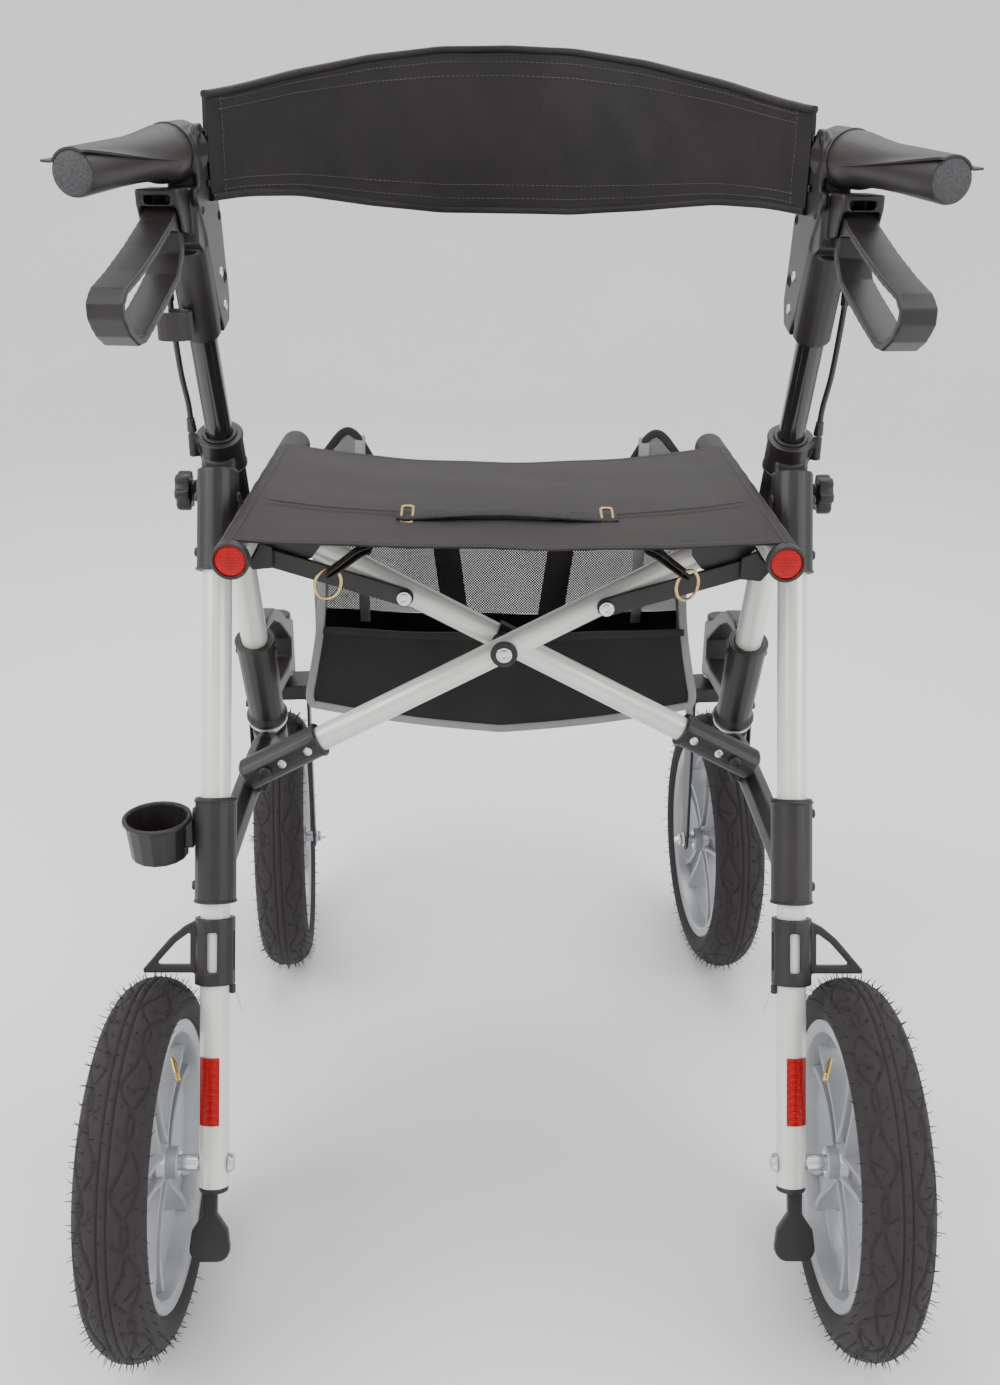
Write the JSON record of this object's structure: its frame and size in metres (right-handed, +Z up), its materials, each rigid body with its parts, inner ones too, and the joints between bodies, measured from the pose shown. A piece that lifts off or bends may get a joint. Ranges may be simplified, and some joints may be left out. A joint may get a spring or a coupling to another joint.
{
  "type": "rollator walker",
  "caption": "Folding four-wheeled walking frame with seat, backrest strap, cloth basket, loop brakes and swivelling front wheels.",
  "frame": {"origin": "on the floor, midway between the axles and between the two side frames", "axes": "+X to the user's right, +Y the way it rolls, +Z up"},
  "size_m": [0.664, 0.8906, 1.046],
  "materials": {
    "pearl_frame": "satin pearl-white paint on aluminium tube",
    "gloss_black_tube": "gloss black",
    "black_plastic": "satin moulded, warm black",
    "grip_plastic": "fine-grained soft plastic",
    "tyre_rubber": "matt black with a leaf tread",
    "rim_grey": "satin silver-grey",
    "zinc": "bright zinc",
    "red_reflector": "retro-reflective red",
    "cable_black": "satin sheath",
    "charcoal_fabric": "woven nylon"
  },
  "bodies": {
    "left_frame": {"rear_post_l": "pearl_frame", "front_leg_l": "pearl_frame", "frame_socket_l": "black_plastic", "side_strut_l": "black_plastic", "caster_bracket_l": "black_plastic", "tip_pedal_l": "black_plastic", "post_strip_l": "red_reflector", "rear_axle_l": "zinc", "brake_cable_l": "cable_black", "cane_cup": "black_plastic", "basket": "charcoal_fabric"},
    "right_frame": {"rear_post_r": "pearl_frame", "front_leg_r": "pearl_frame", "frame_socket_r": "black_plastic", "side_strut_r": "black_plastic", "caster_bracket_r": "black_plastic", "tip_pedal_r": "black_plastic", "post_strip_r": "red_reflector", "rear_axle_r": "zinc", "brake_cable_r": "cable_black"},
    "arm_a": {"brace_arm_a": "pearl_frame", "arm_socket_a": "black_plastic", "brace_bolt": "black_plastic"},
    "arm_b": {"brace_arm_b": "pearl_frame", "arm_socket_b": "black_plastic"},
    "link_a": {"brace_link_a": "black_plastic"},
    "link_b": {"brace_link_b": "black_plastic"},
    "rail_l": {"seat_rail_l": "pearl_frame", "rail_reflector_l": "red_reflector", "rail_yoke_l": "black_plastic", "seat": "charcoal_fabric"},
    "rail_r": {"seat_rail_r": "pearl_frame", "rail_reflector_r": "red_reflector", "rail_yoke_r": "black_plastic"},
    "handle_l": {"handle_tube_l": "gloss_black_tube", "handle_bracket_l": "black_plastic", "grip_l": "grip_plastic", "cane_clip": "black_plastic", "backrest": "charcoal_fabric"},
    "lever_l": {"brake_lever_l": "black_plastic"},
    "brake_l": {"brake_shoe_l": "black_plastic"},
    "knob_l": {"height_knob_l": "black_plastic"},
    "rear_wheel_l": {"rear_tyre_l": "tyre_rubber", "rear_rim_l": "rim_grey"},
    "caster_l": {"caster_fork_l": "black_plastic", "front_axle_l": "zinc"},
    "front_wheel_l": {"front_tyre_l": "tyre_rubber", "front_rim_l": "rim_grey"},
    "handle_r": {"handle_tube_r": "gloss_black_tube", "handle_bracket_r": "black_plastic", "grip_r": "grip_plastic"},
    "lever_r": {"brake_lever_r": "black_plastic"},
    "brake_r": {"brake_shoe_r": "black_plastic"},
    "knob_r": {"height_knob_r": "black_plastic"},
    "rear_wheel_r": {"rear_tyre_r": "tyre_rubber", "rear_rim_r": "rim_grey"},
    "caster_r": {"caster_fork_r": "black_plastic", "front_axle_r": "zinc"},
    "front_wheel_r": {"front_tyre_r": "tyre_rubber", "front_rim_r": "rim_grey"}
  },
  "joints": [
    {"name": "fold", "type": "hinge", "parent": "left_frame", "child": "arm_a", "pos_m": [-0.2235, -0.0415, 0.4175], "axis": [0, -1, 0], "range_deg": [0, 37], "deforming": ["seat", "backrest", "basket"]},
    {"name": "scissor", "type": "hinge", "parent": "arm_a", "child": "arm_b", "pos_m": [0, -0.0285, 0.53634], "axis": [0, -1, 0], "range_deg": [-74, 0]},
    {"name": "right_frame_pivot", "type": "hinge", "parent": "arm_b", "child": "right_frame", "pos_m": [0.2235, -0.0155, 0.4175], "axis": [0, -1, 0], "range_deg": [0, 37]},
    {"name": "rail_r_pivot", "type": "hinge", "parent": "arm_a", "child": "rail_r", "pos_m": [0.2087, -0.0415, 0.64731], "axis": [0, -1, 0], "range_deg": [-37, 0]},
    {"name": "rail_l_pivot", "type": "hinge", "parent": "arm_b", "child": "rail_l", "pos_m": [-0.2087, -0.0155, 0.64731], "axis": [0, -1, 0], "range_deg": [0, 37]},
    {"name": "link_a_pivot", "type": "hinge", "parent": "arm_a", "child": "link_a", "pos_m": [0.09094, -0.0415, 0.58469], "axis": [0, -1, 0], "range_deg": [-118.98, 0]},
    {"name": "link_b_pivot", "type": "hinge", "parent": "arm_b", "child": "link_b", "pos_m": [-0.09094, -0.0155, 0.58469], "axis": [0, -1, 0], "range_deg": [0, 118.98]},
    {"name": "handle_l_height", "type": "slide", "parent": "left_frame", "child": "handle_l", "axis": [0, -0.4195, 0.9078], "range_m": [-0.08, 0.06], "deforming": ["brake_cable_l"]},
    {"name": "brake_lever_l_squeeze", "type": "hinge", "parent": "handle_l", "child": "lever_l", "pos_m": [-0.257, -0.1435, 0.919], "axis": [-0.9962, 0.0872, 0], "range_deg": [0, 18]},
    {"name": "brake_l_slide", "type": "slide", "parent": "left_frame", "child": "brake_l", "axis": [0, -0.3955, -0.9184], "range_m": [0, 0.006]},
    {"name": "height_knob_l_turn", "type": "hinge", "parent": "left_frame", "child": "knob_l", "pos_m": [-0.2775, -0.00649, 0.675], "axis": [-1, 0, 0], "continuous": true},
    {"name": "rear_wheel_l_spin", "type": "hinge", "parent": "left_frame", "child": "rear_wheel_l", "pos_m": [-0.3035, -0.2885, 0.157], "axis": [1, 0, 0], "continuous": true},
    {"name": "caster_l_swivel", "type": "hinge", "parent": "left_frame", "child": "caster_l", "pos_m": [-0.266, 0.3235, 0.424], "axis": [0, 0, 1], "continuous": true},
    {"name": "front_wheel_l_spin", "type": "hinge", "parent": "caster_l", "child": "front_wheel_l", "pos_m": [-0.26313, 0.28862, 0.157], "axis": [0.9966, 0.0819, 0], "continuous": true},
    {"name": "handle_r_height", "type": "slide", "parent": "right_frame", "child": "handle_r", "axis": [0, -0.4195, 0.9078], "range_m": [-0.08, 0.06], "deforming": ["brake_cable_r"]},
    {"name": "brake_lever_r_squeeze", "type": "hinge", "parent": "handle_r", "child": "lever_r", "pos_m": [0.257, -0.1435, 0.919], "axis": [-0.9962, -0.0872, 0], "range_deg": [0, 18]},
    {"name": "brake_r_slide", "type": "slide", "parent": "right_frame", "child": "brake_r", "axis": [0, -0.3955, -0.9184], "range_m": [0, 0.006]},
    {"name": "height_knob_r_turn", "type": "hinge", "parent": "right_frame", "child": "knob_r", "pos_m": [0.2775, -0.00649, 0.675], "axis": [1, 0, 0], "continuous": true},
    {"name": "rear_wheel_r_spin", "type": "hinge", "parent": "right_frame", "child": "rear_wheel_r", "pos_m": [0.3035, -0.2885, 0.157], "axis": [1, 0, 0], "continuous": true},
    {"name": "caster_r_swivel", "type": "hinge", "parent": "right_frame", "child": "caster_r", "pos_m": [0.266, 0.3235, 0.424], "axis": [0, 0, 1], "continuous": true},
    {"name": "front_wheel_r_spin", "type": "hinge", "parent": "caster_r", "child": "front_wheel_r", "pos_m": [0.26887, 0.28862, 0.157], "axis": [0.9966, 0.0819, 0], "continuous": true}
  ],
  "couplings": [
    {"joint": "scissor", "follows": "fold", "ratio": -2},
    {"joint": "right_frame_pivot", "follows": "fold", "ratio": 1},
    {"joint": "rail_r_pivot", "follows": "fold", "ratio": -1},
    {"joint": "rail_l_pivot", "follows": "fold", "ratio": 1},
    {"joint": "link_a_pivot", "follows": "fold", "ratio": -3.2155},
    {"joint": "link_b_pivot", "follows": "fold", "ratio": 3.2155},
    {"joint": "brake_l_slide", "follows": "brake_lever_l_squeeze", "m_per_rad": 0.019099},
    {"joint": "handle_r_height", "follows": "handle_l_height", "ratio": 1},
    {"joint": "brake_r_slide", "follows": "brake_lever_r_squeeze", "m_per_rad": 0.019099}
  ]
}
